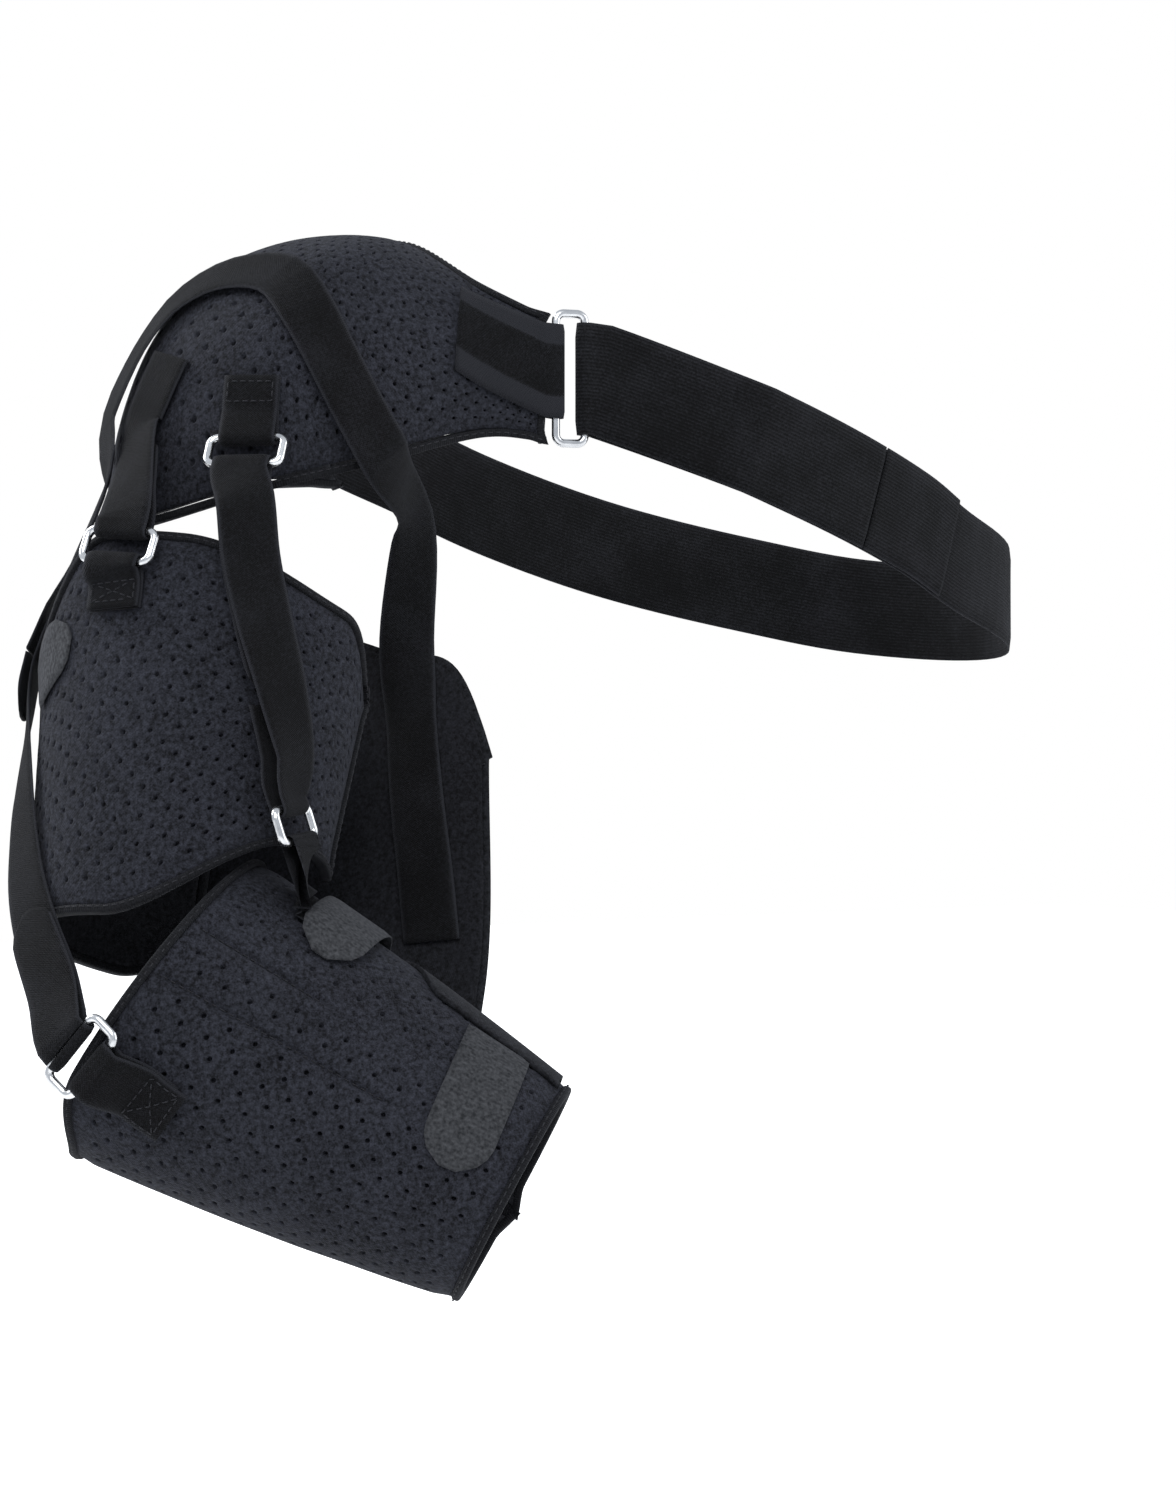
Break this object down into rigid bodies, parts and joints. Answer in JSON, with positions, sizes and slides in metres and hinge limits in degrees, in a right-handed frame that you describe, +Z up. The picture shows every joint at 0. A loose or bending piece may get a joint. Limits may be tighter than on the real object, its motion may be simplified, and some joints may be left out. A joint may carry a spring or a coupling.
{
  "type": "arm sling",
  "caption": "Shoulder and arm support: a padded shoulder cap with a wide chest strap carries an upper arm cuff and a forearm cuff on webbing straps through wire rings",
  "frame": {"origin": "Centre of the wearer's shoulder joint, under the middle of the shoulder cap", "axes": "+Z up, +X across the chest towards the wearer's other shoulder, -Y to the wearer's front; the arm hangs down and slightly outwards and the forearm reaches forwards across the body"},
  "size_m": [0.4921, 0.2709, 0.4008],
  "materials": {
    "perforated_foam": "matt knitted cloth on perforated foam, small round holes in staggered rows",
    "lining": "matt knitted lining",
    "binding": "folded cloth tape, stitched",
    "smooth_panel": "smooth brushed loop cloth",
    "webbing": "soft woven strap, fine grain, lighter edges",
    "elastic": "ribbed woven elastic",
    "hook_tape": "grey fuzzy hook tape with fine ribs",
    "ring_wire": "bright polished wire"
  },
  "bodies": {
    "harness": {"shoulder_cap": "perforated_foam", "shoulder_cap_lining": "lining", "shoulder_cap_binding": "binding", "chest_ring_tab": "webbing", "chest_strap": "elastic", "upper_arm_cuff": "perforated_foam", "upper_arm_cuff_lining": "lining", "upper_arm_cuff_binding": "binding", "medial_panel": "smooth_panel", "medial_panel_backing": "smooth_panel", "front_tab": "webbing", "front_strap": "webbing", "front_strap_fold": "webbing", "side_strap": "webbing", "side_strap_fold": "webbing", "side_tab": "webbing", "over_shoulder_strap": "webbing", "elbow_strap": "webbing", "elbow_strap_fold": "webbing"},
    "forearm": {"forearm_cuff": "perforated_foam", "forearm_cuff_lining": "lining", "forearm_cuff_binding": "binding", "forearm_closing_flap": "perforated_foam", "front_lower_tab": "webbing", "elbow_tab": "webbing"},
    "chest_ring_body": {"chest_ring": "ring_wire"},
    "front_upper_ring_body": {"front_upper_ring": "ring_wire"},
    "front_lower_ring_body": {"front_lower_ring": "ring_wire"},
    "side_ring_body": {"side_ring": "ring_wire"},
    "elbow_ring_body": {"elbow_ring": "ring_wire"},
    "wrist_hook_tab_body": {"wrist_hook_tab": "hook_tape"},
    "elbow_hook_tab_body": {"elbow_hook_tab": "hook_tape"},
    "upper_arm_hook_tab_body": {"upper_arm_hook_tab": "hook_tape"},
    "chest_strap_hook_end_body": {"chest_strap_hook_end": "elastic"},
    "over_shoulder_hook_end_body": {"over_shoulder_hook_end": "webbing"}
  },
  "joints": [
    {"name": "elbow_flex", "type": "hinge", "parent": "harness", "child": "forearm", "pos_m": [-0.07821, -0.04904, -0.2484], "axis": [-0.477, -0.8215, 0.3124], "range_deg": [0, 8], "deforming": ["medial_panel", "medial_panel_backing", "elbow_strap", "elbow_strap_fold", "front_lower_tab"]},
    {"name": "chest_ring_swivel", "type": "hinge", "parent": "harness", "child": "chest_ring_body", "pos_m": [0.08689, -0.07932, -0.013], "axis": [0, 0, 1], "range_deg": [-5, 15], "deforming": ["chest_ring_tab"]},
    {"name": "front_upper_ring_swivel", "type": "hinge", "parent": "harness", "child": "front_upper_ring_body", "pos_m": [-0.0445, -0.05048, -0.04022], "axis": [-0.676, 0.7369, 0.0025], "range_deg": [-4, 15], "deforming": ["front_strap", "front_strap_fold"]},
    {"name": "front_lower_ring_swivel", "type": "hinge", "parent": "harness", "child": "front_lower_ring_body", "pos_m": [-0.05494, -0.09943, -0.17612], "axis": [-0.8055, -0.5891, -0.0644], "range_deg": [-4, 12], "deforming": ["front_lower_tab"]},
    {"name": "side_ring_swivel", "type": "hinge", "parent": "harness", "child": "side_ring_body", "pos_m": [-0.09339, -0.0388, -0.08677], "axis": [0.5178, -0.8525, -0.0714], "range_deg": [-4, 15], "deforming": ["side_strap", "side_strap_fold"]},
    {"name": "elbow_ring_swivel", "type": "hinge", "parent": "forearm", "child": "elbow_ring_body", "pos_m": [-0.12748, -0.08953, -0.26563], "axis": [0.3632, -0.5559, 0.7477], "range_deg": [-5, 15], "deforming": ["elbow_strap", "elbow_strap_fold"]},
    {"name": "wrist_tab_peel", "type": "hinge", "parent": "forearm", "child": "wrist_hook_tab_body", "pos_m": [0.00987, -0.13656, -0.26018], "axis": [-0.7854, 0.3406, 0.5168], "range_deg": [0, 80]},
    {"name": "elbow_tab_peel", "type": "hinge", "parent": "forearm", "child": "elbow_hook_tab_body", "pos_m": [-0.00917, -0.07327, -0.22359], "axis": [-0.5638, 0.6443, 0.5167], "range_deg": [0, 60]},
    {"name": "upper_arm_tab_peel", "type": "hinge", "parent": "harness", "child": "upper_arm_hook_tab_body", "pos_m": [-0.10542, -0.00083, -0.132], "axis": [-0.3093, -0.6988, -0.645], "range_deg": [0, 50]},
    {"name": "over_shoulder_end_peel", "type": "hinge", "parent": "harness", "child": "over_shoulder_hook_end_body", "pos_m": [-0.09867, 0.01964, -0.12014], "axis": [0.5996, 0.765, -0.2352], "range_deg": [0, 60]},
    {"name": "chest_end_peel", "type": "hinge", "parent": "harness", "child": "chest_strap_hook_end_body", "pos_m": [0.20715, -0.11047, -0.05542], "axis": [-0.3271, -0.0346, -0.9444], "range_deg": [0, 80]}
  ]
}
